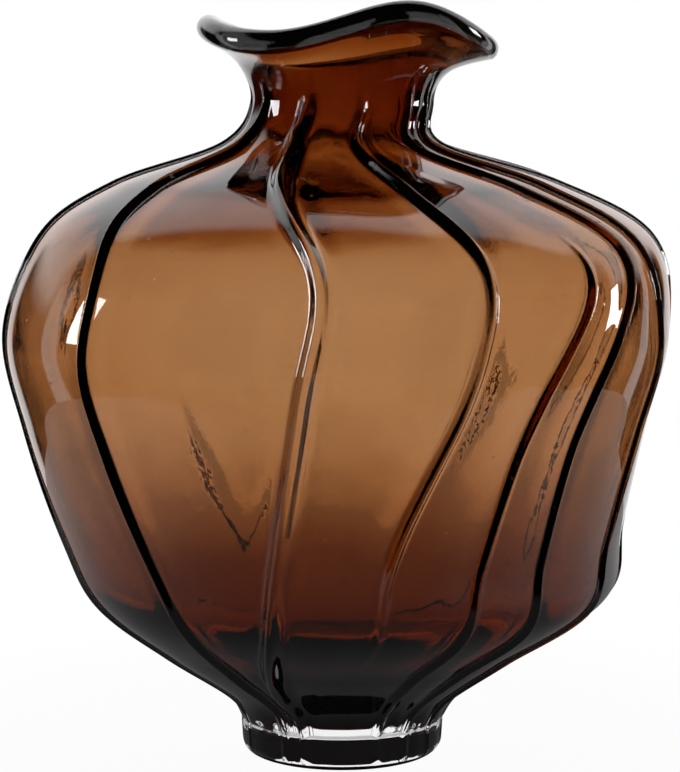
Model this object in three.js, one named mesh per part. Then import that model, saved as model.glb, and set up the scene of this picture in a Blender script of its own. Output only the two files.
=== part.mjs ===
// A mouth-blown vase of cased glass: a brown lining fused inside a clear casing with wandering raised ribs,
// a solid clear foot and a waved lip. Millimetres, +Z up, origin at the centre of the flat base.
import * as THREE from 'three';

const { clamp, degToRad, euclideanModulo, lerp, radToDeg, smoothstep } = THREE.MathUtils;

// Foot
const BASE_RADIUS = 24.5;
const HEEL_RISE = 5;
const FOOT_TAPER = 0.3;
const WAIST_RADIUS = 29.6;
const WAIST_HEIGHT = 11;

// Body outline: the radius at each station, and how far each station stands above the one below it
const FLANK_RADIUS = 35.3;
const FLANK_RISE = 8;
const LOWER_RADIUS = 54.4;
const LOWER_RISE = 13.5;
const HIP_RADIUS = 76.2;
const HIP_RISE = 16.5;
const SIDE_RADIUS = 82.4;
const SIDE_RISE = 19;
const WALL_RADIUS = 90.2;
const WALL_RISE = 30;
const BELLY_RADIUS = 96;
const BELLY_RISE = 28;
const SHOULDER_RADIUS = 88.3;
const SHOULDER_RISE = 27;
const COLLAR_RADIUS = 64.3;
const COLLAR_RISE = 15;
const NECK_FOOT_RADIUS = 31.5;
const NECK_FOOT_RISE = 11;
const NECK_RADIUS = 26;
const NECK_RISE = 12;
const FLARE_RADIUS = 30.4;
const FLARE_RISE = 11;
const LIP_RADIUS = 40.6;
const LIP_RISE = 6.5;

// How far the outline's centre lies to the right of the foot's at each station, from the waist up to the lip
const DRIFTS = [0, 0.2, 0, 2, -0.5, -2, -1.3, 1, -1.8, -3, 0, 0, 0];

// Waved lip: lift and spread of the edge at each sixth of a turn from its first crest
const LIP_LIFT = [5, -5.2, 3.5, -4.3, 0.8, -3.1];
const LIP_SPREAD = [-1.3, 2.8, -2, 1.6, -0.6, 1.4];
const LIP_CREST_TURN = 30;

// Glass walls
const CASING_WALL = 1.8;
const LINING_WALL_FLOOR = 6.6;
const LINING_WALL_SIDE = 1.4;
const LINING_WALL_NECK = 4;
const LINING_WALL_LIP = 5.2;
const LINING_THIN_HEIGHT = 118;
const LINING_EASE = 1.8;
const FOOT_GLASS = 13.5;
const FUSE_GAP = 0.3;

// Ribs: where each crest lies at each level, in degrees from the front, positive to the right
const RIB_LEVELS = [25, 70, 115, 150, 182];
const RIB_ROUTES = [
  [-124, -66, -33, -22, 2, 20, 38, 58, 82, 114, 144, 168, 190, 206],
  [-118, -74, -39, -11.5, 9.5, 28, 42, 66, 90, 114, 141, 164, 192, 211],
  [-114, -82, -45, -7, 21.5, 36, 48, 72, 92, 112, 133, 153, 189, 218],
  [-116, -80, -47, -7, 24, 46, 58, 67, 88, 107, 124, 150, 188, 216],
  [-120, -84, -56, -21, 13, 30, 47, 66, 86, 110, 134, 158, 192, 214],
];

// Rib section: each rib's height and half width, and how pointed the crests are
const RIB_HEIGHTS = [1.4, 1, 1.9, 3.4, 2.2, 1.8, 1.6, 1.3, 1, 1.2, 1.4, 1.2, 1, 1.8];
const RIB_HALF_WIDTHS = [3.5, 2.2, 2.9, 5.4, 3.2, 2.8, 2.5, 2, 2.2, 3.5, 4.5, 4.5, 4.5, 4.5];
const RIB_POINT = 4;

// Rib ends: how the ribs fade out, the one that stops above the foot and the tops of those that start low
const RIB_NECK_FADE = 20;
const RIB_FOOT_FADE = 20;
const RIB_FOOT_SHARE = 0.45;
const SHORT_RIB = 4;
const SHORT_RIB_END = 56;
const LATE_RIB_TOPS = { 5: 158, 13: 95 };

// How far the panels between the ribs swell
const PANEL_SWELL = 0.2;

// Facets
const BODY_ROWS = 20;
const FLOOR_ROW = 4;
const FLOOR_ROWS = 3;
const HEEL_ROWS = 3;
const BEAD_ROWS = 4;
const LINING_COLUMNS = 48;
const FLANK_STEPS = [0, 0.5, 1];
const PANEL_STEPS = [1 / 3, 2 / 3];
const WIDEST_FLANK = 1 / 3;

const TURN = 360;
const RIB_COUNT = RIB_ROUTES[0].length;
const LIP_WALL = CASING_WALL + FUSE_GAP + LINING_WALL_LIP;

// The stations of the outline, from the waist up to the lip's edge
function bodyStations() {
  const stations = [
    [WAIST_RADIUS, WAIST_HEIGHT],
    [FLANK_RADIUS, FLANK_RISE],
    [LOWER_RADIUS, LOWER_RISE],
    [HIP_RADIUS, HIP_RISE],
    [SIDE_RADIUS, SIDE_RISE],
    [WALL_RADIUS, WALL_RISE],
    [BELLY_RADIUS, BELLY_RISE],
    [SHOULDER_RADIUS, SHOULDER_RISE],
    [COLLAR_RADIUS, COLLAR_RISE],
    [NECK_FOOT_RADIUS, NECK_FOOT_RISE],
    [NECK_RADIUS, NECK_RISE],
    [FLARE_RADIUS, FLARE_RISE],
    [LIP_RADIUS, LIP_RISE],
  ];
  let height = 0;
  return stations.map(([radius, rise]) => {
    height += rise;
    return new THREE.Vector2(radius, height);
  });
}

const STATIONS = bodyStations();
const BODY = new THREE.SplineCurve(STATIONS);
const [, FLANK, , , , , , SHOULDER, , , NECK, FLARE, LIP] = STATIONS;

// Lining thickness at a height: thick at the floor, thin at the belly, thicker at the neck and the lip
function liningWall(height) {
  const floorShare = clamp((LINING_THIN_HEIGHT - height) / (LINING_THIN_HEIGHT - FLANK.y), 0, 1);
  const neckShare = smoothstep(height, SHOULDER.y, NECK.y);
  const lipShare = smoothstep(height, FLARE.y, LIP.y);
  return LINING_WALL_SIDE
    + floorShare ** LINING_EASE * (LINING_WALL_FLOOR - LINING_WALL_SIDE)
    + neckShare * (LINING_WALL_NECK - LINING_WALL_SIDE)
    + lipShare * (LINING_WALL_LIP - LINING_WALL_NECK);
}

// How much of its full height a rib has at a height
function ribShare(rib, height) {
  const top = LATE_RIB_TOPS[rib] ?? NECK.y;
  const end = rib === SHORT_RIB ? SHORT_RIB_END : RIB_FOOT_FADE;
  const footShare = rib === SHORT_RIB ? 0 : RIB_FOOT_SHARE;
  const neckShare = 1 - smoothstep(height, top - RIB_NECK_FADE, top);
  const heelShare = smoothstep(height, 0, HEEL_RISE);
  const rise = smoothstep(height, end - RIB_FOOT_FADE, end + RIB_FOOT_FADE);
  return neckShare * heelShare * lerp(footShare, 1, rise);
}

const ribRoutes = new THREE.CubicInterpolant(RIB_LEVELS, RIB_ROUTES.flat(), RIB_COUNT);

// Columns of facets that follow the ribs at a radius and height, with the relief that each column has there
function ribColumns(radius, height) {
  const crests = Array.from(ribRoutes.evaluate(height));
  const peaks = RIB_HEIGHTS.map((peak, rib) => peak * ribShare(rib, height));
  const flankShape = (step) => Math.cos((Math.PI / 2) * step) ** RIB_POINT;
  return crests.flatMap((crest, rib) => {
    const next = (rib + 1) % RIB_COUNT;
    const span = euclideanModulo(crests[next] - crest, TURN);
    const flank = (side) => Math.min(radToDeg(RIB_HALF_WIDTHS[side] / radius), WIDEST_FLANK * span);
    const leaving = FLANK_STEPS.map((step) => ({
      turn: crest + step * flank(rib),
      relief: peaks[rib] * flankShape(step),
    }));
    const panel = PANEL_STEPS.map((step) => ({
      turn: lerp(crest + flank(rib), crest + span - flank(next), step),
      relief: PANEL_SWELL * ribShare(rib, height) * Math.sin(Math.PI * step) ** 2,
    }));
    const meeting = FLANK_STEPS.slice(1).reverse().map((step) => ({
      turn: crest + span - step * flank(next),
      relief: peaks[next] * flankShape(step),
    }));
    return [...leaving, ...panel, ...meeting];
  });
}

// Evenly spaced columns for a smooth surface
function evenColumns(count) {
  return Array.from({ length: count }, (_, column) => ({ turn: (TURN * column) / count, relief: 0 }));
}

// The smooth inside of the casing keeps the columns that the ribs reach at the neck
const SEAT_COLUMNS = ribColumns(NECK.x, NECK.y);

// A point of the wall at share along the body outline, set in from the outside by depth
function wallPoint(share, depth) {
  const tangent = BODY.getTangent(share);
  const outward = new THREE.Vector2(tangent.y, -tangent.x);
  const position = BODY.getPoint(share).addScaledVector(outward, -depth);
  return { position, tangent, outward };
}

// A bowl from its floor on the axis up to the lip, set in from the body outline by depthAt(height) and kept
// short of the lip's edge by drop
function bowlSection(floorHeight, depthAt, drop, columns) {
  const wall = [];
  for (let row = FLOOR_ROW; row <= BODY_ROWS; row += 1) {
    const share = row / BODY_ROWS;
    const point = wallPoint(share, depthAt(BODY.getPoint(share).y));
    point.position.addScaledVector(point.tangent, row === BODY_ROWS ? -drop : 0);
    wall.push({ ...point, columns });
  }
  const { position: edge, tangent, outward } = wall[0];
  const run = (edge.y - floorHeight) / tangent.y;
  const floor = new THREE.QuadraticBezierCurve(
    new THREE.Vector2(0, floorHeight),
    new THREE.Vector2(edge.x - run * tangent.x, floorHeight),
    edge,
  );
  const floorPoints = floor.getPoints(FLOOR_ROWS).slice(0, FLOOR_ROWS);
  return [...floorPoints.map((position) => ({ position, outward, columns })), ...wall];
}

// The flat base and the round heel
function footSection() {
  const footRadius = WAIST_RADIUS - FOOT_TAPER;
  const heel = new THREE.QuadraticBezierCurve(
    new THREE.Vector2(BASE_RADIUS, 0),
    new THREE.Vector2(footRadius, 0),
    new THREE.Vector2(footRadius, HEEL_RISE),
  );
  const points = [new THREE.Vector2(0, 0), ...heel.getPoints(HEEL_ROWS)];
  const outward = new THREE.Vector2(1, 0);
  return points.map((position) => ({ position, outward, columns: ribColumns(WAIST_RADIUS, position.y) }));
}

// The ribbed outside, from the waist to the lip's edge
function outsideSection() {
  const rows = Array.from({ length: BODY_ROWS + 1 }, (_, row) => wallPoint(row / BODY_ROWS, 0));
  return rows.map((point) => ({ ...point, columns: ribColumns(point.position.x, point.position.y) }));
}

// The round bead over the lip's edge, from the outer face to the cavity side
function beadSection() {
  const { position: edge, tangent, outward } = wallPoint(1, 0);
  const radius = LIP_WALL / 2;
  return Array.from({ length: BEAD_ROWS }, (_, row) => {
    const angle = (Math.PI * (row + 1)) / BEAD_ROWS;
    const position = edge.clone()
      .addScaledVector(outward, radius * (Math.cos(angle) - 1))
      .addScaledVector(tangent, radius * Math.sin(angle));
    return { position, outward, columns: SEAT_COLUMNS };
  });
}

// A smooth wave round the lip through values at equal turns from its first crest
function lipWave(values, turn) {
  const place = euclideanModulo(turn - LIP_CREST_TURN, TURN) / (TURN / values.length);
  const from = Math.floor(place);
  const ease = (1 - Math.cos(Math.PI * (place - from))) / 2;
  return lerp(values[from], values[(from + 1) % values.length], ease);
}

const bodyDrift = new THREE.CubicInterpolant(STATIONS.map((station) => station.y), DRIFTS, 1);

// Turns a section about the drifting centre, raises its columns' relief along the surface and waves the lip
function blownGlass(section) {
  const columnCount = section[0].columns.length;
  const geometry = new THREE.LatheGeometry(section.map((point) => point.position), columnCount);
  const vertices = geometry.getAttribute('position');
  section.forEach(({ position, outward, columns }, row) => {
    const [drift] = bodyDrift.evaluate(position.y);
    const flare = clamp((position.y - NECK.y) / (LIP.y - NECK.y), 0, 1);
    for (let column = 0; column <= columnCount; column += 1) {
      const { turn, relief } = columns[column % columnCount];
      const radius = position.x + relief * outward.x + flare ** 2 * lipWave(LIP_SPREAD, turn);
      const height = position.y + relief * outward.y + flare ** 2 * lipWave(LIP_LIFT, turn);
      const angle = degToRad(turn);
      vertices.setXYZ(
        column * section.length + row,
        radius * Math.sin(angle) + drift,
        -radius * Math.cos(angle),
        height,
      );
    }
  });
  geometry.computeVertexNormals();
  return geometry;
}

// The clear outer gather: foot, ribbed wall and lip bead, hollowed for the lining
function clearCasing() {
  const seat = bowlSection(FOOT_GLASS, () => CASING_WALL, 0, SEAT_COLUMNS);
  const section = [...footSection(), ...outsideSection(), ...beadSection(), ...seat.reverse()];
  const material = new THREE.MeshStandardMaterial({ color: 0xe9e6ea, roughness: 0.03, metalness: 0 });
  const mesh = new THREE.Mesh(blownGlass(section), material);
  mesh.name = 'clear_casing';
  return mesh;
}

// The brown inner gather that lines the casing and holds the water
function brownLining() {
  const columns = evenColumns(LINING_COLUMNS);
  const depth = CASING_WALL + FUSE_GAP;
  const seat = bowlSection(FOOT_GLASS + FUSE_GAP, () => depth, FUSE_GAP, columns);
  const floorHeight = FOOT_GLASS + FUSE_GAP + LINING_WALL_FLOOR;
  const cavity = bowlSection(floorHeight, (height) => depth + liningWall(height), FUSE_GAP, columns);
  const section = [...seat, ...cavity.reverse()];
  const material = new THREE.MeshStandardMaterial({ color: 0x8a5529, roughness: 0.03, metalness: 0 });
  const mesh = new THREE.Mesh(blownGlass(section), material);
  mesh.name = 'brown_lining';
  return mesh;
}

const vase = new THREE.Group();
vase.add(clearCasing(), brownLining());

export default vase;
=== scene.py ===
# The looks of a mouth-blown vase of cased glass: a brown lining fused inside a clear, ribbed casing.
# Metres, +Z up, origin at the centre of the flat base. Lengths are given in millimetres, turns in degrees.
import math

import bpy
import numpy as np
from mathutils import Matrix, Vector


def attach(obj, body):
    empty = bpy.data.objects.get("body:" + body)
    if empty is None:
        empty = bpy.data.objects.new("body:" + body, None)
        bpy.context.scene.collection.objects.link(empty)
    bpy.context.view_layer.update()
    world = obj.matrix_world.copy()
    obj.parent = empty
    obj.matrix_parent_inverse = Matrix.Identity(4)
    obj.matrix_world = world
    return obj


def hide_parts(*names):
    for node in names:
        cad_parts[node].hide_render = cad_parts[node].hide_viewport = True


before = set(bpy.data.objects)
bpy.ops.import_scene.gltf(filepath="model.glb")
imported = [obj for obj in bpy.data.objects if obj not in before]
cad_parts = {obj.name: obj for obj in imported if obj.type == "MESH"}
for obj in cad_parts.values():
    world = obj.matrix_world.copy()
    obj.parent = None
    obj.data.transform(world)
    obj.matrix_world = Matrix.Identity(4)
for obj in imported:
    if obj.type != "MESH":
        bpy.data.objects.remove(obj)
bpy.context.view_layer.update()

MM = 0.001
TURN = 360

# Foot
BASE_RADIUS = 24.5
HEEL_RISE = 5
FOOT_TAPER = 0.3
WAIST_RADIUS = 29.6
WAIST_HEIGHT = 11

# Body outline above the waist: each station's radius, rise above the one below and drift to the right
STATIONS = {
    "flank": (35.3, 8, 0.2),
    "lower": (54.4, 13.5, 0),
    "hip": (76.2, 16.5, 2),
    "side": (82.4, 19, -0.5),
    "wall": (90.2, 30, -2),
    "belly": (96, 28, -1.3),
    "shoulder": (88.3, 27, 1),
    "collar": (64.3, 15, -1.8),
    "neck_foot": (31.5, 11, -3),
    "neck": (26, 12, 0),
    "flare": (30.4, 11, 0),
    "lip": (40.6, 6.5, 0),
}

# Waved lip: lift and spread of the edge at each sixth of a turn from its first crest
LIP_LIFT = [5, -5.2, 3.5, -4.3, 0.8, -3.1]
LIP_SPREAD = [-1.3, 2.8, -2, 1.6, -0.6, 1.4]
LIP_CREST_TURN = 30

# Glass walls: the lining thins out from its floor to the belly, and is thicker again at the neck and lip
CASING_WALL = 1.8
LINING_WALL_FLOOR = 6.6
LINING_WALL_SIDE = 1.4
LINING_WALL_NECK = 4
LINING_WALL_LIP = 5.45
LINING_THIN_HEIGHT = 118
LINING_EASE = 3
FOOT_GLASS = 13.5
FUSE_GAP = 0.05
LIP_WALL = CASING_WALL + FUSE_GAP + LINING_WALL_LIP

# Ribs: where each crest lies at each level, from the front, positive to the right
RIB_LEVELS = np.array([25, 70, 115, 150, 182])
RIB_ROUTES = np.array([
    [-124, -66, -33, -22, 2, 20, 38, 58, 82, 114, 144, 168, 190, 206],
    [-118, -74, -39, -11.5, 9.5, 28, 42, 66, 90, 114, 141, 164, 192, 211],
    [-114, -82, -45, -5.4, 21.5, 36, 48, 72, 92, 112, 133, 153, 189, 218],
    [-116, -80, -47, -5, 24, 46, 58, 67, 88, 107, 124, 150, 188, 216],
    [-120, -84, -56, -21, 13, 30, 47, 66, 86, 110, 134, 158, 192, 214],
])

# Rib section: each rib's height and half width, how pointed the crests are, by what share the right flank
# widens as the left one narrows, and how much and how fast the heights vary along the ribs
RIB_HEIGHTS = np.array([1.4, 1, 1.9, 3.7, 2.2, 1.8, 1.6, 1.3, 1, 1.2, 1.4, 1.2, 1, 1.8])
RIB_HALF_WIDTHS = np.array([3.5, 2.2, 2.9, 5.4, 3.2, 2.8, 2.5, 2, 2.2, 3.5, 4.5, 4.5, 4.5, 4.5])
RIB_POINT = 4
RIB_LEANS = np.array([0, 0, 0, 0.12, 0, 0, 0, 0, 0, 0, 0, 0, 0, 0])
RIB_BEAT = 0.12
RIB_BEAT_LENGTH = 85
RIB_BEAT_STEP = 3.73

# Rib ends: how the ribs fade out, the one that stops above the foot and the tops of those that start late
RIB_NECK_FADE = 20
RIB_FOOT_FADE = 20
RIB_FOOT_SHARE = 0.45
SHORT_RIB = 4
SHORT_RIB_END = 56
LATE_RIB_TOPS = {5: 158, 13: 95}

# Panels between the ribs: how far they swell, and the most that a flank takes of the way to the next rib
PANEL_SWELL = 0.2
WIDEST_FLANK = 1 / 3

# How far and how widely the lining follows the ribs, and where that starts above its floor
FOLLOW_SHARE = 0.35
FOLLOW_HALF_WIDTH = 9
FOLLOW_START = (22, 45)

# Mesh density
BODY_ROWS = 220
SEAT_ROWS = 70
CAVITY_ROWS = 150
FLOOR_SHARE = 0.2
FLOOR_ROWS = 24
BASE_ROWS = 10
GROUND_ROWS = 6
HEEL_ROWS = 10
TAPER_ROWS = 4
BEAD_ROWS = 18
FLANK_COLUMNS = 8
PANEL_COLUMNS = 9
LINING_COLUMNS = 260

# Glass: its finish, the noise scale and depth of each layer of unevenness, and the seeds in it
GLASS_COLOUR = (0.97, 0.97, 0.975, 1)
GLASS_ROUGHNESS = 0.005
GLASS_IOR = 1.5
OUTSIDE_LAYERS = [(22, 0.2)]
INSIDE_LAYERS = [(45, 0.4), (700, 0.015)]
SEED_SCALE = 110
SEED_REACH = 0.06
SEED_DEPTH = 0.12

# Brown of the lining, and the grain and the dark tints of the ground base, the tints being painted shade
# from the table it stands on
BROWN_COLOUR = (0.691, 0.395, 0.03, 1)
BROWN_DENSITY = 930
GROUND_GRAIN = 900
GROUND_SHADE_TINTS = [(0.018, 0.009, 0.011, 1), (0.05, 0.035, 0.038, 1)]

# Material slots of the casing
CLEAR_SLOT = 0
FUSED_SLOT = 1
GROUND_SLOT = 2

# Sockets of the mix node, several of which share a name
MIX_NUMBERS = (2, 3)
MIX_NUMBER_OUT = 0
MIX_COLOURS = (6, 7)
MIX_COLOUR_OUT = 2

# Camera of the photograph
CAMERA_PLACE = (0, -850, 222)
CAMERA_TARGET = (-0.5, 0, 108.4)
CAMERA_LENS = 136.9

# Floor: its size, its colour, and how white it is to the camera near the vase and out to its rim
FLOOR_RADIUS = 340
FLOOR_SIDES = 96
FLOOR_GAP = 0.2
FLOOR_COLOUR = (0.85, 0.85, 0.85, 1)
FLOOR_WHITE = 0.96
FLOOR_RIM = (90, 200)

# Floor as the glass reflects it: painted shade beside the foot, painted lighter towards the sides, and dark
# past the table's edge
MIRROR_SHADE_LEVEL = 0.1
MIRROR_LEVELS = (0.15, 0.45)
MIRROR_SIDE = (60, 240)
MIRROR_SHADE = (25, 120)
MIRROR_SHIFT = 100
MIRROR_SQUEEZE = 0.72
MIRROR_EDGE = (365, 300)

# Table as it shows through the glass, in painted shadow: dark under the foot and dimmer behind the vase
FOOT_SHADE = (24, 48)
TABLE_SHADE_LEVEL = 0.5
TABLE_BACK = (-50, 80)
TABLE_BEHIND = (0.2, 0.5)
TABLE_RISE = (-14, -8)

# Light through the glass: white panels on all sides, low corners between them, and dark gaps
PANEL_COUNT = 4
PANEL_EDGE = (31, 27)
CORNER_EDGE = (15, 10)
CORNER_DROP = (7, 11)
GAP_LEVEL = 0.01
LOW_EDGE = (-36, -30)
LOW_LEVEL = 0.85
TOP_EDGE = (24, 32)

# Light that the glass reflects: a dim room, the panel behind, a canopy over the back and side strips
ROOM_LEVEL = 0.01
BACK_EDGE = (0.5, 0.7)
CANOPY_EDGE = (5, 14)
CANOPY_FRONT = (0.3, 0.48)
CANOPY_LEVEL = 1.3
CANOPY_TILT = 0.1
SIDE_STRIPS = [(-72, -60), (44, 56)]
STRIP_BLUR = 2
STRIP_TOP = (22, 12)

# Soft boxes: each one's turn from the front, height, width and height of its face, and radiance
LAMP_DISTANCE = 900
LAMP_AIM = 120
SOFT_BOXES = {
    "left_soft_box": (-94, 300, (190, 290), 14),
    "right_soft_box": (104, 170, (150, 240), 20),
}

# Light bounces, enough for paths through both glasses
BOUNCES = 24
TRANSPARENT_BOUNCES = 32


def smoothstep(value, low, high):
    """0 below low, 1 above high and smooth between them."""
    share = np.clip((value - low) / (high - low), 0, 1)
    return share * share * (3 - 2 * share)


def station_points():
    """Radius and height of the waist and of each station above it."""
    points = [(WAIST_RADIUS, WAIST_HEIGHT)]
    for radius, rise, _ in STATIONS.values():
        points.append((radius, points[-1][1] + rise))
    return np.array(points, float)


POINTS = station_points()
HEIGHT = dict(zip(["waist", *STATIONS], POINTS[:, 1]))
DRIFTS = np.array([0, *[drift for _, _, drift in STATIONS.values()]])


def smooth_curve(levels, values, height):
    """Values at heights on a smooth curve through rows of values at levels."""
    secants = np.diff(values, axis=0) / np.diff(levels)[:, None]
    slopes = np.vstack([secants[:1], (secants[1:] + secants[:-1]) / 2, secants[-1:]])
    height = np.clip(height, levels[0], levels[-1])
    index = np.clip(np.searchsorted(levels, height, side="right") - 1, 0, len(levels) - 2)
    span = (levels[index + 1] - levels[index])[:, None]
    w = (height - levels[index])[:, None] / span
    low, high = values[index], values[index + 1]
    bend = (w**3 - 2 * w**2 + w) * span * slopes[index] + (w**3 - w**2) * span * slopes[index + 1]
    return low + (3 * w**2 - 2 * w**3) * (high - low) + bend


def outline(share):
    """Points, tangents and outward normals of the body outline at shares of its run from waist to lip."""
    last = len(POINTS) - 1
    place = np.asarray(share, float) * last
    index = np.clip(place.astype(int), 0, last - 1)
    w = (place - index)[:, None]
    before, start = POINTS[np.maximum(index - 1, 0)], POINTS[index]
    end, after = POINTS[index + 1], POINTS[np.minimum(index + 2, last)]
    leave, arrive = (end - before) / 2, (after - start) / 2
    point = (2 * start - 2 * end + leave + arrive) * w**3
    point = point + (-3 * start + 3 * end - 2 * leave - arrive) * w**2 + leave * w + start
    tangent = 3 * (2 * start - 2 * end + leave + arrive) * w**2
    tangent = tangent + 2 * (-3 * start + 3 * end - 2 * leave - arrive) * w + leave
    tangent /= np.linalg.norm(tangent, axis=1)[:, None]
    outward = np.stack([tangent[:, 1], -tangent[:, 0]], 1)
    return point, tangent, outward


def lining_wall(height):
    """Thickness of the lining at heights."""
    rise = np.clip((LINING_THIN_HEIGHT - height) / (LINING_THIN_HEIGHT - HEIGHT["flank"]), 0, 1)
    wall = LINING_WALL_SIDE + rise**LINING_EASE * (LINING_WALL_FLOOR - LINING_WALL_SIDE)
    wall += smoothstep(height, HEIGHT["shoulder"], HEIGHT["neck"]) * (LINING_WALL_NECK - LINING_WALL_SIDE)
    return wall + smoothstep(height, HEIGHT["flare"], HEIGHT["lip"]) * (LINING_WALL_LIP - LINING_WALL_NECK)


def rib_turns(height):
    """Turn of each rib's crest at heights."""
    return smooth_curve(RIB_LEVELS, RIB_ROUTES, height)


def rib_shares(height):
    """How much of its full height each rib has at heights."""
    ends = np.full(RIB_ROUTES.shape[1], float(RIB_FOOT_FADE))
    ends[SHORT_RIB] = SHORT_RIB_END
    feet = np.full(RIB_ROUTES.shape[1], RIB_FOOT_SHARE)
    feet[SHORT_RIB] = 0
    tops = np.full(RIB_ROUTES.shape[1], HEIGHT["flare"])
    tops[list(LATE_RIB_TOPS)] = list(LATE_RIB_TOPS.values())
    neck_share = 1 - smoothstep(height[:, None], tops - RIB_NECK_FADE, tops)
    rise = smoothstep(height[:, None], ends - RIB_FOOT_FADE, ends + RIB_FOOT_FADE)
    heel_share = smoothstep(height, 0, HEEL_RISE)[:, None]
    return neck_share * heel_share * (feet + (1 - feet) * rise)


def rib_columns(radius, height):
    """Turn and relief of the columns that follow the ribs, one row for each radius and height."""
    crests = rib_turns(height)
    spans = np.roll(crests, -1, axis=1) - crests
    spans[:, -1] += TURN
    halves = np.degrees(RIB_HALF_WIDTHS / radius[:, None])
    rights = np.minimum(halves * (1 + RIB_LEANS), WIDEST_FLANK * spans)
    lefts = np.minimum(np.roll(halves * (1 - RIB_LEANS), -1, axis=1), WIDEST_FLANK * spans)
    shares = rib_shares(height)
    phases = RIB_BEAT_STEP * np.arange(len(RIB_HEIGHTS))
    beat = np.sin(math.tau * height[:, None] / RIB_BEAT_LENGTH + phases)
    peaks = RIB_HEIGHTS * shares * (1 + RIB_BEAT * beat)
    turns, reliefs = [], []
    for step in np.linspace(0, 1, FLANK_COLUMNS + 1):
        turns.append(crests + step * rights)
        reliefs.append(peaks * math.cos(math.pi / 2 * step) ** RIB_POINT)
    for step in np.linspace(0, 1, PANEL_COLUMNS + 2)[1:-1]:
        turns.append(crests + rights + step * (spans - rights - lefts))
        reliefs.append(PANEL_SWELL * shares * math.sin(math.pi * step) ** 2)
    for step in np.linspace(1, 0, FLANK_COLUMNS + 1)[:-1]:
        turns.append(crests + spans - step * lefts)
        reliefs.append(np.roll(peaks, -1, axis=1) * math.cos(math.pi / 2 * step) ** RIB_POINT)
    order = (len(height), -1)
    return np.stack(turns, 2).reshape(order), np.stack(reliefs, 2).reshape(order)


def follow_relief(turns, points):
    """How far the lining follows the ribs outwards, at turns round rows of points."""
    radius, height = points[:, :1], points[:, 1]
    crests, shares = rib_turns(height), rib_shares(height)
    relief = np.zeros_like(turns)
    for rib, rib_height in enumerate(RIB_HEIGHTS):
        apart = np.mod(turns - crests[:, rib:rib + 1] + TURN / 2, TURN) - TURN / 2
        near = np.clip(np.radians(apart) * radius / FOLLOW_HALF_WIDTH, -1, 1)
        relief += rib_height * shares[:, rib:rib + 1] * (1 + np.cos(np.pi * near)) / 2
    return relief * FOLLOW_SHARE * smoothstep(height, *FOLLOW_START)[:, None]


def lip_curve(values, turn):
    """A smooth wave round the lip through values at equal turns from the first crest."""
    values = np.array(values)
    place = np.mod(turn - LIP_CREST_TURN, TURN) / (TURN / len(values))
    start = np.minimum(place.astype(int), len(values) - 1)
    ease = (1 - np.cos(np.pi * (place - start))) / 2
    return values[start] * (1 - ease) + values[(start + 1) % len(values)] * ease


def turned(points, outward, turns, reliefs):
    """Rows of points turned about the axis, with relief along the surface and the waved lip."""
    flare = np.clip((points[:, 1] - HEIGHT["neck"]) / (HEIGHT["lip"] - HEIGHT["neck"]), 0, 1)
    wave = flare[:, None] ** 2
    radius = points[:, :1] + reliefs * outward[:, :1] + wave * lip_curve(LIP_SPREAD, turns)
    angle = np.radians(turns)
    height = points[:, 1:] + reliefs * outward[:, 1:] + wave * lip_curve(LIP_LIFT, turns)
    drift = smooth_curve(POINTS[:, 1], DRIFTS[:, None], points[:, 1])
    return np.stack([radius * np.sin(angle) + drift, -radius * np.cos(angle), height], 2) * MM


def bowl_points(floor_height, depth_at, drop, rows):
    """Points and outward normals of an inner surface, from its floor on the axis up to the lip."""
    point, tangent, outward = outline(np.linspace(FLOOR_SHARE, 1, rows))
    depths = np.broadcast_to(depth_at(point[:, 1]), len(point))
    wall = point - outward * depths[:, None]
    wall[-1] -= tangent[-1] * drop
    edge, slope = wall[0], tangent[0]
    knee = np.array([edge[0] - (edge[1] - floor_height) / slope[1] * slope[0], floor_height])
    centre = np.array([0, floor_height])
    t = np.linspace(0, 1, FLOOR_ROWS + 1)[:-1, None]
    floor = (1 - t) ** 2 * centre + 2 * t * (1 - t) * knee + t**2 * edge
    floor_outward = np.repeat(outward[:1], len(floor), axis=0)
    return np.vstack([floor, wall]), np.vstack([floor_outward, outward])


def foot_points():
    """Outline of the foot, from the middle of the base to just below the waist."""
    foot_radius = WAIST_RADIUS - FOOT_TAPER
    t = np.linspace(0, 1, HEEL_ROWS + 1)[:, None]
    corner = np.array([foot_radius, 0])
    heel = (1 - t) ** 2 * [BASE_RADIUS, 0] + 2 * t * (1 - t) * corner + t**2 * [foot_radius, HEEL_RISE]
    base = np.stack([np.linspace(0, BASE_RADIUS, BASE_ROWS + 1)[:-1], np.zeros(BASE_ROWS)], 1)
    rise = np.linspace(0, 1, TAPER_ROWS + 2)[1:-1, None]
    taper = heel[-1] + rise * (POINTS[0] - heel[-1])
    return np.vstack([base, heel, taper])


def bead_points():
    """Outline of the round bead on the lip, from outside to inside."""
    point, tangent, outward = outline([1])
    angle = np.linspace(0, math.pi, BEAD_ROWS + 1)[1:, None]
    radius = LIP_WALL / 2
    return point + outward * radius * (np.cos(angle) - 1) + tangent * radius * np.sin(angle)


def grid_mesh(name, rows):
    """A closed mesh from rows of points round the axis. The first and last rows lie on the axis."""
    columns = rows.shape[1]
    inner = rows[1:-1].reshape(-1, 3)
    vertices = np.vstack([rows[:1, 0], inner, rows[-1:, 0]])
    around = np.arange(columns)
    beside = (around + 1) % columns
    faces = [(0, 1 + b, 1 + a) for a, b in zip(around, beside)]
    for row in range(len(rows) - 3):
        low = 1 + row * columns
        high = low + columns
        faces.extend(zip(low + around, low + beside, high + beside, high + around))
    top = len(vertices) - 1
    edge = top - columns
    faces.extend((edge + a, edge + b, top) for a, b in zip(around, beside))
    mesh = bpy.data.meshes.new(name)
    mesh.from_pydata(vertices.tolist(), [], [tuple(int(i) for i in face) for face in faces])
    mesh.shade_smooth()
    piece = bpy.data.objects.new(name, mesh)
    bpy.context.scene.collection.objects.link(piece)
    return piece


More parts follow.
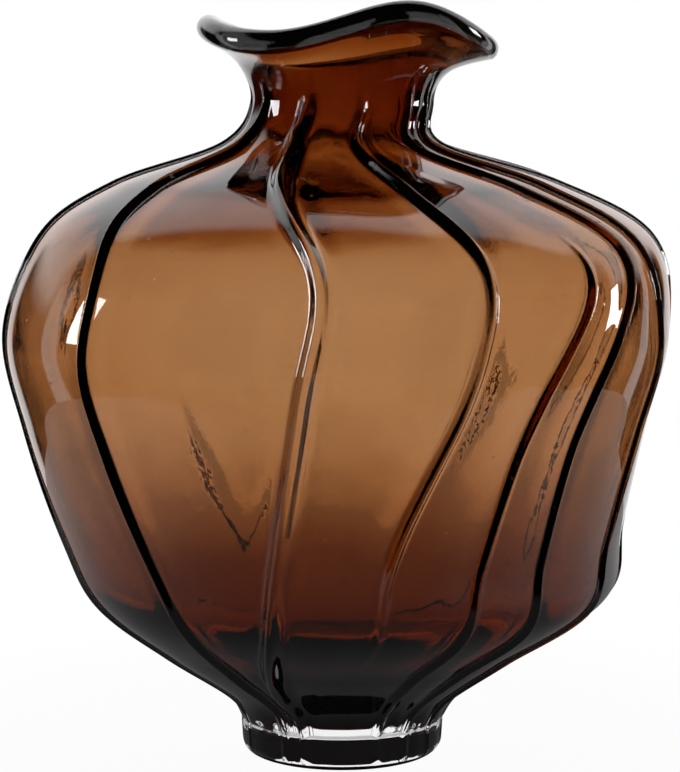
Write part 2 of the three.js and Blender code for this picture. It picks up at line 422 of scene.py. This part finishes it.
def casing_piece():
    """The clear glass: foot, ribbed body, bead and the seat for the lining."""
    foot = foot_points()
    body, _, body_outward = outline(np.linspace(0, 1, BODY_ROWS))
    bead = bead_points()
    seat, seat_outward = bowl_points(FOOT_GLASS, lambda height: CASING_WALL, 0, SEAT_ROWS)
    foot_turns, foot_relief = rib_columns(np.full(len(foot), WAIST_RADIUS), foot[:, 1])
    body_turns, body_relief = rib_columns(body[:, 0], body[:, 1])
    bead_turns = np.repeat(body_turns[-1:], len(bead), axis=0)
    seat_turns = np.repeat(body_turns[-1:], len(seat) - 1, axis=0)
    seat, seat_outward = seat[::-1][1:], seat_outward[::-1][1:]
    points = np.vstack([foot, body, bead, seat])
    foot_outward = np.tile([1.0, 0.0], (len(foot), 1))
    outward = np.vstack([foot_outward, body_outward, np.zeros_like(bead), seat_outward])
    turns = np.vstack([foot_turns, body_turns, bead_turns, seat_turns])
    seat_relief = follow_relief(seat_turns, seat)
    reliefs = np.vstack([foot_relief, body_relief, np.zeros_like(bead_turns), seat_relief])
    piece = grid_mesh("clear_casing_glass", turned(points, outward, turns, reliefs))
    outside_rows = len(foot) + len(body) + len(bead)
    columns = turns.shape[1]
    face = np.arange(len(piece.data.polygons))
    slots = np.where(face >= (outside_rows - 1) * columns, FUSED_SLOT, CLEAR_SLOT)
    slots[face < (BASE_ROWS + GROUND_ROWS) * columns] = GROUND_SLOT
    piece.data.polygons.foreach_set("material_index", slots)
    return piece


def lining_piece():
    """The brown glass: what is fused to the casing, and the cavity for water."""
    depth = CASING_WALL + FUSE_GAP
    seat_height = FOOT_GLASS + FUSE_GAP
    seat, seat_outward = bowl_points(seat_height, lambda height: depth, FUSE_GAP, SEAT_ROWS)
    cavity, cavity_outward = bowl_points(
        seat_height + LINING_WALL_FLOOR, lambda height: depth + lining_wall(height), FUSE_GAP, CAVITY_ROWS)
    points = np.vstack([seat, cavity[::-1]])
    outward = np.vstack([seat_outward, cavity_outward[::-1]])
    turns = np.repeat(np.linspace(0, TURN, LINING_COLUMNS, endpoint=False)[None], len(points), axis=0)
    piece = grid_mesh("brown_lining_glass", turned(points, outward, turns, follow_relief(turns, points)))
    open_face = np.arange(len(piece.data.polygons)) >= (len(seat) - 1) * LINING_COLUMNS
    attribute = piece.data.attributes.new("open_face", "FLOAT", "FACE")
    attribute.data.foreach_set("value", open_face.astype(np.float32))
    return piece


def new_material(name):
    """A material without nodes."""
    material = bpy.data.materials.new(name)
    material.use_nodes = True
    material.node_tree.nodes.clear()
    return material, material.node_tree.nodes, material.node_tree.links


def math_node(nodes, links, operation, first, second=None):
    """A sum, product or other operation on sockets or numbers."""
    node = nodes.new("ShaderNodeMath")
    node.operation = operation
    for socket, value in zip(node.inputs, (first, second)):
        if isinstance(value, bpy.types.NodeSocket):
            links.new(value, socket)
        elif value is not None:
            socket.default_value = value
    return node.outputs["Value"]


def soft_step(nodes, links, value, low, high):
    """0 below low, 1 above high and smooth between them."""
    node = nodes.new("ShaderNodeMapRange")
    node.interpolation_type = "SMOOTHSTEP"
    node.inputs["From Min"].default_value = low
    node.inputs["From Max"].default_value = high
    links.new(value, node.inputs["Value"])
    return node.outputs["Result"]


def blend_value(nodes, links, share, low, high):
    """A number between low and high, which may be sockets, by a share."""
    node = nodes.new("ShaderNodeMix")
    links.new(share, node.inputs["Factor"])
    for index, value in zip(MIX_NUMBERS, (low, high)):
        if isinstance(value, bpy.types.NodeSocket):
            links.new(value, node.inputs[index])
        else:
            node.inputs[index].default_value = value
    return node.outputs[MIX_NUMBER_OUT]


def sine_step(nodes, links, rise, turns):
    """0 below the first elevation, 1 above the second."""
    return soft_step(nodes, links, rise, *[math.sin(math.radians(turn)) for turn in turns])


def metre_step(nodes, links, value, edges):
    """0 below the first edge, 1 above the second, with the edges in millimetres."""
    return soft_step(nodes, links, value, *[edge * MM for edge in edges])


def set_surface(nodes, links, socket):
    """The material's output, with a shader as its surface."""
    out = nodes.new("ShaderNodeOutputMaterial")
    links.new(socket, out.inputs["Surface"])
    return out


def uneven(nodes, links, layers):
    """Layers of soft bump, each a noise scale and a depth, as blown glass has."""
    place = nodes.new("ShaderNodeTexCoord")
    normal = None
    for scale, depth in layers:
        noise = nodes.new("ShaderNodeTexNoise")
        noise.inputs["Scale"].default_value = scale
        noise.inputs["Detail"].default_value = 1
        bump = nodes.new("ShaderNodeBump")
        bump.inputs["Strength"].default_value = 1
        bump.inputs["Distance"].default_value = depth * MM
        links.new(place.outputs["Object"], noise.inputs["Vector"])
        links.new(noise.outputs["Fac"], bump.inputs["Height"])
        if normal:
            links.new(normal, bump.inputs["Normal"])
        normal = bump.outputs["Normal"]
    return normal


def seeds(nodes, links, normal):
    """A few tiny blisters near the surface."""
    place = nodes.new("ShaderNodeTexCoord")
    cells = nodes.new("ShaderNodeTexVoronoi")
    cells.inputs["Scale"].default_value = SEED_SCALE
    links.new(place.outputs["Object"], cells.inputs["Vector"])
    bump = nodes.new("ShaderNodeBump")
    bump.inputs["Strength"].default_value = 1
    bump.inputs["Distance"].default_value = SEED_DEPTH * MM
    links.new(soft_step(nodes, links, cells.outputs["Distance"], SEED_REACH, 0), bump.inputs["Height"])
    links.new(normal, bump.inputs["Normal"])
    return bump.outputs["Normal"]


def glass_shader(nodes, links, layers):
    """Clear glass with layers of unevenness and seeds."""
    shader = nodes.new("ShaderNodeBsdfPrincipled")
    shader.inputs["Base Color"].default_value = GLASS_COLOUR
    shader.inputs["Roughness"].default_value = GLASS_ROUGHNESS
    shader.inputs["IOR"].default_value = GLASS_IOR
    shader.inputs["Transmission Weight"].default_value = 1
    links.new(seeds(nodes, links, uneven(nodes, links, layers)), shader.inputs["Normal"])
    return shader


def clear_glass():
    """The colourless outside of the vase."""
    material, nodes, links = new_material("clear_glass")
    shader = glass_shader(nodes, links, OUTSIDE_LAYERS)
    set_surface(nodes, links, shader.outputs["BSDF"])
    return material


def fused_seam():
    """The casing's seat, where the two glasses are one and light passes unbent."""
    material, nodes, links = new_material("fused_seam")
    shader = nodes.new("ShaderNodeBsdfTransparent")
    set_surface(nodes, links, shader.outputs["BSDF"])
    return material


def shaded_ground_base():
    """Matt ground glass under the foot, with painted shade: dark because it stands on the table."""
    material, nodes, links = new_material("shaded_ground_base")
    place = nodes.new("ShaderNodeTexCoord")
    grain = nodes.new("ShaderNodeTexNoise")
    grain.inputs["Scale"].default_value = GROUND_GRAIN
    links.new(place.outputs["Object"], grain.inputs["Vector"])
    # Painted shade: two dark tints, mixed by a fine grain
    tint = nodes.new("ShaderNodeMix")
    tint.data_type = "RGBA"
    for index, colour in zip(MIX_COLOURS, GROUND_SHADE_TINTS):
        tint.inputs[index].default_value = colour
    links.new(grain.outputs["Fac"], tint.inputs["Factor"])
    shader = nodes.new("ShaderNodeBsdfDiffuse")
    links.new(tint.outputs[MIX_COLOUR_OUT], shader.inputs["Color"])
    set_surface(nodes, links, shader.outputs["BSDF"])
    return material


def brown_glass():
    """Glass that takes light out along its path, clear where it is fused to the casing."""
    material, nodes, links = new_material("brown_glass")
    shader = glass_shader(nodes, links, INSIDE_LAYERS)
    open_face = nodes.new("ShaderNodeAttribute")
    open_face.attribute_name = "open_face"
    links.new(open_face.outputs["Fac"], shader.inputs["Alpha"])
    absorption = nodes.new("ShaderNodeVolumeAbsorption")
    absorption.inputs["Color"].default_value = BROWN_COLOUR
    absorption.inputs["Density"].default_value = BROWN_DENSITY
    out = set_surface(nodes, links, shader.outputs["BSDF"])
    links.new(absorption.outputs["Volume"], out.inputs["Volume"])
    return material


def floor_level(nodes, links, place, reach, ray):
    """How bright the floor is where it shows through the glass, and where the glass reflects it, with
    painted shadow under and behind the vase and painted shade beside the foot.
    """
    axes = nodes.new("ShaderNodeSeparateXYZ")
    links.new(place, axes.inputs["Vector"])
    # Painted shadow of the vase on the table: dark under the foot and dimmer behind
    lit = metre_step(nodes, links, reach, FOOT_SHADE)
    back = metre_step(nodes, links, axes.outputs["Y"], TABLE_BACK)
    lit = math_node(nodes, links, "MULTIPLY", lit, blend_value(nodes, links, back, 1, TABLE_SHADE_LEVEL))
    squeeze = nodes.new("ShaderNodeVectorMath")
    squeeze.operation = "MULTIPLY"
    squeeze.inputs[1].default_value = (MIRROR_SQUEEZE, 1, 1)
    links.new(place, squeeze.inputs[0])
    table = nodes.new("ShaderNodeVectorMath")
    table.operation = "DISTANCE"
    table.inputs[1].default_value = (0, MIRROR_SHIFT * MM, 0)
    links.new(squeeze.outputs["Vector"], table.inputs[0])
    # Painted shade beside the foot and painted light towards the sides, as the glass reflects the floor
    near = metre_step(nodes, links, table.outputs["Value"], MIRROR_EDGE)
    shade = metre_step(nodes, links, reach, MIRROR_SHADE)
    aside = math_node(nodes, links, "ABSOLUTE", axes.outputs["X"])
    clear = blend_value(nodes, links, metre_step(nodes, links, aside, MIRROR_SIDE), *MIRROR_LEVELS)
    mirrored = blend_value(nodes, links, shade, MIRROR_SHADE_LEVEL, clear)
    mirrored = math_node(nodes, links, "MULTIPLY", near, mirrored)
    return blend_value(nodes, links, ray.outputs["Is Transmission Ray"], mirrored, lit)


def pale_floor():
    """White to the camera with a soft shadow, and as bright to the glass as floor_level says."""
    material, nodes, links = new_material("pale_floor")
    place = nodes.new("ShaderNodeTexCoord").outputs["Object"]
    reach = nodes.new("ShaderNodeVectorMath")
    reach.operation = "LENGTH"
    links.new(place, reach.inputs[0])
    ray = nodes.new("ShaderNodeLightPath")
    level = floor_level(nodes, links, place, reach.outputs["Value"], ray)
    white = nodes.new("ShaderNodeEmission")
    links.new(blend_value(nodes, links, ray.outputs["Is Camera Ray"], level, 1), white.inputs["Strength"])
    diffuse = nodes.new("ShaderNodeBsdfDiffuse")
    diffuse.inputs["Color"].default_value = FLOOR_COLOUR
    rim = metre_step(nodes, links, reach.outputs["Value"], FLOOR_RIM)
    share = blend_value(nodes, links, rim, FLOOR_WHITE, 1)
    seen = math_node(nodes, links, "MULTIPLY", ray.outputs["Is Camera Ray"], share)
    seen = math_node(nodes, links, "MAXIMUM", seen, ray.outputs["Is Transmission Ray"])
    mix = nodes.new("ShaderNodeMixShader")
    links.new(math_node(nodes, links, "MAXIMUM", seen, ray.outputs["Is Glossy Ray"]), mix.inputs["Fac"])
    links.new(diffuse.outputs["BSDF"], mix.inputs[1])
    links.new(white.outputs["Emission"], mix.inputs[2])
    set_surface(nodes, links, mix.outputs["Shader"])
    return material


def floor_disc():
    """What the vase stands on, which is no part of it."""
    angle = np.linspace(0, math.tau, FLOOR_SIDES, endpoint=False)
    rim = np.stack([np.cos(angle), np.sin(angle), np.zeros(FLOOR_SIDES)], 1) * FLOOR_RADIUS * MM
    mesh = bpy.data.meshes.new("floor")
    mesh.from_pydata(rim.tolist(), [], [tuple(range(FLOOR_SIDES))])
    mesh.materials.append(pale_floor())
    floor = bpy.data.objects.new("floor", mesh)
    floor.location.z = -FLOOR_GAP * MM
    bpy.context.scene.collection.objects.link(floor)


def panel_step(nodes, links, wave, edges):
    """0 past the first turn from a crest of the panels' wave, 1 within the second."""
    return soft_step(nodes, links, wave, *[math.cos(math.radians(PANEL_COUNT * turn)) for turn in edges])


def light_through(nodes, links, axes, panel, wave, top):
    """Light that comes through the glass, dimmer where the table lies behind the vase, as painted shade of
    that table.
    """
    rise = axes.outputs["Z"]
    drop = math_node(nodes, links, "MULTIPLY", rise, -1)
    corner = panel_step(nodes, links, math_node(nodes, links, "MULTIPLY", wave, -1), CORNER_EDGE)
    corner = math_node(nodes, links, "MULTIPLY", corner, sine_step(nodes, links, drop, CORNER_DROP))
    white = math_node(nodes, links, "MULTIPLY", math_node(nodes, links, "MAXIMUM", panel, corner), top)
    through = blend_value(nodes, links, white, GAP_LEVEL, 1)
    through = blend_value(nodes, links, sine_step(nodes, links, rise, LOW_EDGE), LOW_LEVEL, through)
    # Painted shade of the table behind the vase, below the horizon
    table = soft_step(nodes, links, axes.outputs["Y"], *TABLE_BEHIND)
    table = blend_value(nodes, links, table, 1, TABLE_SHADE_LEVEL)
    table = blend_value(nodes, links, sine_step(nodes, links, rise, TABLE_RISE), table, 1)
    return math_node(nodes, links, "MULTIPLY", through, table)


def light_mirrored(nodes, links, axes, panel, around, top):
    """Light that the glass reflects."""
    rise = axes.outputs["Z"]
    behind = soft_step(nodes, links, axes.outputs["Y"], *BACK_EDGE)
    behind = math_node(nodes, links, "MULTIPLY", math_node(nodes, links, "MULTIPLY", panel, top), behind)
    tilt = math_node(nodes, links, "MULTIPLY", axes.outputs["X"], CANOPY_TILT)
    over = soft_step(nodes, links, math_node(nodes, links, "ADD", axes.outputs["Y"], tilt), *CANOPY_FRONT)
    over = math_node(nodes, links, "MULTIPLY", sine_step(nodes, links, rise, CANOPY_EDGE), over)
    low = sine_step(nodes, links, rise, STRIP_TOP)
    for first, last in SIDE_STRIPS:
        start = soft_step(nodes, links, around, math.radians(first), math.radians(first + STRIP_BLUR))
        end = soft_step(nodes, links, around, math.radians(last), math.radians(last - STRIP_BLUR))
        strip = math_node(nodes, links, "MULTIPLY", math_node(nodes, links, "MULTIPLY", start, end), low)
        behind = math_node(nodes, links, "MAXIMUM", behind, strip)
    mirrored = blend_value(nodes, links, behind, ROOM_LEVEL, 1)
    return blend_value(nodes, links, over, mirrored, CANOPY_LEVEL)


def studio():
    """White to the camera, and to the glass a studio of panels, a table in painted shade, a canopy and
    strips.
    """
    world = bpy.data.worlds.new("studio")
    bpy.context.scene.world = world
    world.use_nodes = True
    nodes, links = world.node_tree.nodes, world.node_tree.links
    nodes.clear()
    place = nodes.new("ShaderNodeTexCoord")
    axes = nodes.new("ShaderNodeSeparateXYZ")
    links.new(place.outputs["Generated"], axes.inputs["Vector"])
    around = math_node(nodes, links, "ARCTAN2", axes.outputs["X"], axes.outputs["Y"])
    wave = math_node(nodes, links, "COSINE", math_node(nodes, links, "MULTIPLY", around, PANEL_COUNT))
    panel = panel_step(nodes, links, wave, PANEL_EDGE)
    top = math_node(nodes, links, "SUBTRACT", 1, sine_step(nodes, links, axes.outputs["Z"], TOP_EDGE))
    through = light_through(nodes, links, axes, panel, wave, top)
    mirrored = light_mirrored(nodes, links, axes, panel, around, top)
    ray = nodes.new("ShaderNodeLightPath")
    level = blend_value(nodes, links, ray.outputs["Is Transmission Ray"], mirrored, through)
    level = blend_value(nodes, links, ray.outputs["Is Camera Ray"], level, 1)
    background = nodes.new("ShaderNodeBackground")
    background.inputs["Color"].default_value = (1, 1, 1, 1)
    links.new(level, background.inputs["Strength"])
    out = nodes.new("ShaderNodeOutputWorld")
    links.new(background.outputs["Background"], out.inputs["Surface"])


def soft_box(name, turn, height, size, radiance):
    """A soft box that faces the middle of the vase and shows only as a reflection."""
    data = bpy.data.lights.new(name, "AREA")
    data.shape = "RECTANGLE"
    data.size, data.size_y = (side * MM for side in size)
    data.energy = radiance * math.pi * data.size * data.size_y
    lamp = bpy.data.objects.new(name, data)
    angle = math.radians(turn)
    lamp.location = Vector((math.sin(angle) * LAMP_DISTANCE, -math.cos(angle) * LAMP_DISTANCE, height)) * MM
    aim = Vector((0, 0, LAMP_AIM)) * MM - lamp.location
    lamp.rotation_euler = aim.to_track_quat("-Z", "Y").to_euler()
    lamp.visible_camera = False
    lamp.visible_transmission = False
    bpy.context.scene.collection.objects.link(lamp)


def camera():
    """A camera at the photograph's angle."""
    data = bpy.data.cameras.new("photo_camera")
    data.lens = CAMERA_LENS
    eye = bpy.data.objects.new("photo_camera", data)
    eye.location = Vector(CAMERA_PLACE) * MM
    aim = Vector(CAMERA_TARGET) * MM - eye.location
    eye.rotation_euler = aim.to_track_quat("-Z", "Y").to_euler()
    bpy.context.scene.collection.objects.link(eye)
    bpy.context.scene.camera = eye


casing = casing_piece()
casing.data.materials.append(clear_glass())
casing.data.materials.append(fused_seam())
casing.data.materials.append(shaded_ground_base())
lining = lining_piece()
lining.data.materials.append(brown_glass())
for piece, node, slot in ((casing, "clear_casing", "clear_glass"), (lining, "brown_lining", "brown_glass")):
    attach(piece, "root")
    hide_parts(node)

floor_disc()
studio()
for name, box in SOFT_BOXES.items():
    soft_box(name, *box)
camera()
scene = bpy.context.scene
scene.view_settings.view_transform = "Standard"
scene.cycles.max_bounces = BOUNCES
scene.cycles.transmission_bounces = BOUNCES
scene.cycles.transparent_max_bounces = TRANSPARENT_BOUNCES
